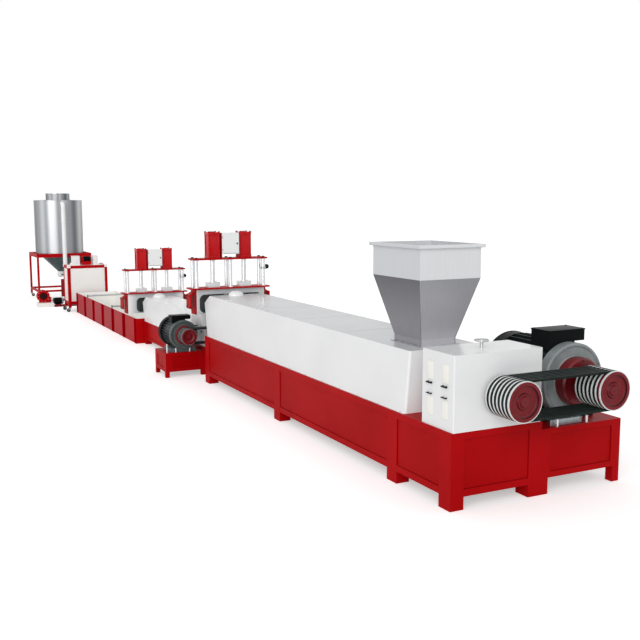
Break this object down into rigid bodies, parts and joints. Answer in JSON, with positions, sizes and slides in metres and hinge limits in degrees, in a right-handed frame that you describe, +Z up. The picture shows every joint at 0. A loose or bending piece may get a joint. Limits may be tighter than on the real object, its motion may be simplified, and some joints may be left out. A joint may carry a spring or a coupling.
{
  "type": "plastic pelletizing machine",
  "caption": "Plastic pelletizing line: screw extruders with belt drives, screen changers with hydraulic presses, a cooling tank, a strand cutter and a pellet silo.",
  "frame": {"origin": "on the floor, under the middle of the line's bounding box", "axes": "+X along the line from the silo to the first extruder's drive end, +Y across it to the side with the first motor, +Z up"},
  "size_m": [22.213, 2.815, 3.147],
  "materials": {
    "red": "semi-gloss red paint",
    "white": "semi-gloss white paint",
    "dark_red": "dark red paint on cast iron",
    "dark": "dark grey paint",
    "grey": "grey paint on cast iron",
    "steel": "brushed stainless sheet",
    "bright": "hard-chromed and ground",
    "bare": "turned bare steel",
    "belt": "moulded rubber",
    "cream": "cream paint",
    "wheel": "solid rubber"
  },
  "bodies": {
    "line": {"barrel_ends": "bare", "blower_base": "cream", "blower_frame": "dark_red", "blower_motor": "dark", "blower_scroll": "red", "caster_forks": "bright", "caster_wheels": "wheel", "cutter_corners": "cream", "cutter_frame": "red", "cutter_motor": "dark", "cutter_motor_saddle": "red", "cutter_panels": "cream", "extruder_base_feet": "red", "extruder_base_frames": "red", "extruder_base_panels": "red", "gearbox_breather": "steel", "hopper": "steel", "main_barrel_cover": "white", "main_belts": "belt", "main_gearbox": "white", "motor_base_feet": "red", "motor_base_frames": "red", "motor_base_panels": "red", "motor_bodies": "grey", "motor_fan_cowls": "dark", "motor_feet": "grey", "motor_flanges": "dark_red", "motor_jack_bolts": "bright", "motor_slide_rails": "steel", "motor_terminal_boxes": "dark", "press_columns": "bright", "press_control_boxes": "white", "press_cylinders": "red", "press_plates": "red", "riser_pipe": "white", "screen_changer_housings": "white", "screen_changer_side_plates": "red", "second_barrel_cover": "white", "second_belts": "belt", "second_gearbox": "white", "silo_outlet": "white", "silo_roof": "steel", "silo_shell": "steel", "silo_stand": "red", "tank_ends": "red", "tank_posts": "red", "tank_roller_bearings": "grey", "tank_trough": "red"},
    "main_driven_pulley": {"main_driven_pulley": "bare"},
    "main_motor_pulley": {"main_motor_pulley": "bare"},
    "second_driven_pulley": {"second_driven_pulley": "bare"},
    "second_motor_pulley": {"second_motor_pulley": "bare"},
    "main_press_front_rod": {"main_press_front_rod": "bright"},
    "main_press_back_rod": {"main_press_back_rod": "bright"},
    "second_press_front_rod": {"second_press_front_rod": "bright"},
    "second_press_back_rod": {"second_press_back_rod": "bright"},
    "tank_roller_near": {"tank_roller_near": "bare"},
    "tank_roller_far": {"tank_roller_far": "bare"}
  },
  "joints": [
    {"name": "main_driven_pulley_spin", "type": "hinge", "parent": "line", "child": "main_driven_pulley", "pos_m": [11.1065, -0.1705, 1.071], "axis": [1, 0, 0], "continuous": true},
    {"name": "main_motor_pulley_spin", "type": "hinge", "parent": "line", "child": "main_motor_pulley", "pos_m": [11.1065, 0.9215, 1.071], "axis": [1, 0, 0], "continuous": true},
    {"name": "second_driven_pulley_spin", "type": "hinge", "parent": "line", "child": "second_driven_pulley", "pos_m": [3.6115, -0.1705, 0.7], "axis": [1, 0, 0], "continuous": true},
    {"name": "second_motor_pulley_spin", "type": "hinge", "parent": "line", "child": "second_motor_pulley", "pos_m": [3.6115, -0.8645, 0.7], "axis": [1, 0, 0], "continuous": true},
    {"name": "main_press_front_rod_slide", "type": "slide", "parent": "line", "child": "main_press_front_rod", "axis": [0, 0, 1], "range_m": [0, 0.27]},
    {"name": "main_press_back_rod_slide", "type": "slide", "parent": "line", "child": "main_press_back_rod", "axis": [0, 0, 1], "range_m": [0, 0.27]},
    {"name": "second_press_front_rod_slide", "type": "slide", "parent": "line", "child": "second_press_front_rod", "axis": [0, 0, 1], "range_m": [0, 0.27]},
    {"name": "second_press_back_rod_slide", "type": "slide", "parent": "line", "child": "second_press_back_rod", "axis": [0, 0, 1], "range_m": [0, 0.27]},
    {"name": "tank_roller_near_spin", "type": "hinge", "parent": "line", "child": "tank_roller_near", "pos_m": [-2.4785, -0.1705, 0.56], "axis": [0, 1, 0], "continuous": true},
    {"name": "tank_roller_far_spin", "type": "hinge", "parent": "line", "child": "tank_roller_far", "pos_m": [-4.9985, -0.1705, 0.56], "axis": [0, 1, 0], "continuous": true}
  ],
  "couplings": [
    {"joint": "main_driven_pulley_spin", "follows": "main_motor_pulley_spin", "ratio": 1},
    {"joint": "second_motor_pulley_spin", "follows": "second_driven_pulley_spin", "ratio": 1}
  ]
}
